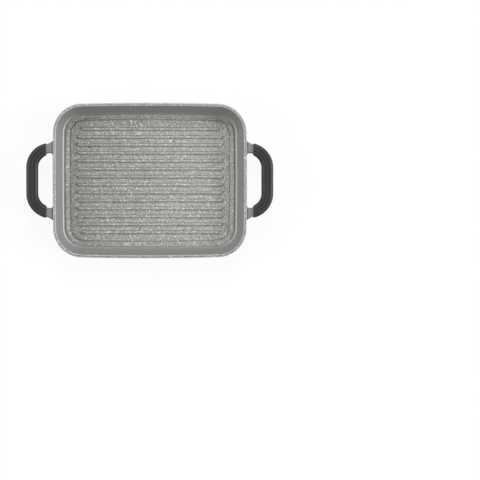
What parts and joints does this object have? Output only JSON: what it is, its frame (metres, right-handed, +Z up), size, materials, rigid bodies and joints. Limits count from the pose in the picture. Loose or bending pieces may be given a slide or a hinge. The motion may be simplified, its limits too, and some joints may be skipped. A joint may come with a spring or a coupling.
{
  "type": "griddle pan",
  "caption": "Ribbed rectangular griddle pan with round corners and stepped walls, a loop handle in a split soft sleeve at each end, and a perforated plate set flush in its round base.",
  "frame": {"origin": "centre of the round boss that the pan stands on, at the height of the hob", "axes": "+X along the pan's length, from handle to handle and along the ribs; +Y across the pan; +Z up, out of the well"},
  "size_m": [0.3816, 0.24, 0.045],
  "materials": {
    "coated_aluminium": "satin dark grey coating, speckled on the cooking surface",
    "bare_aluminium": "turned",
    "steel": "turned satin",
    "silicone": "matt"
  },
  "bodies": {
    "root": {"griddle_pan": "coated_aluminium", "induction_plate": "steel", "centre_disc": "bare_aluminium", "left_grip": "silicone", "right_grip": "silicone"}
  },
  "joints": []
}
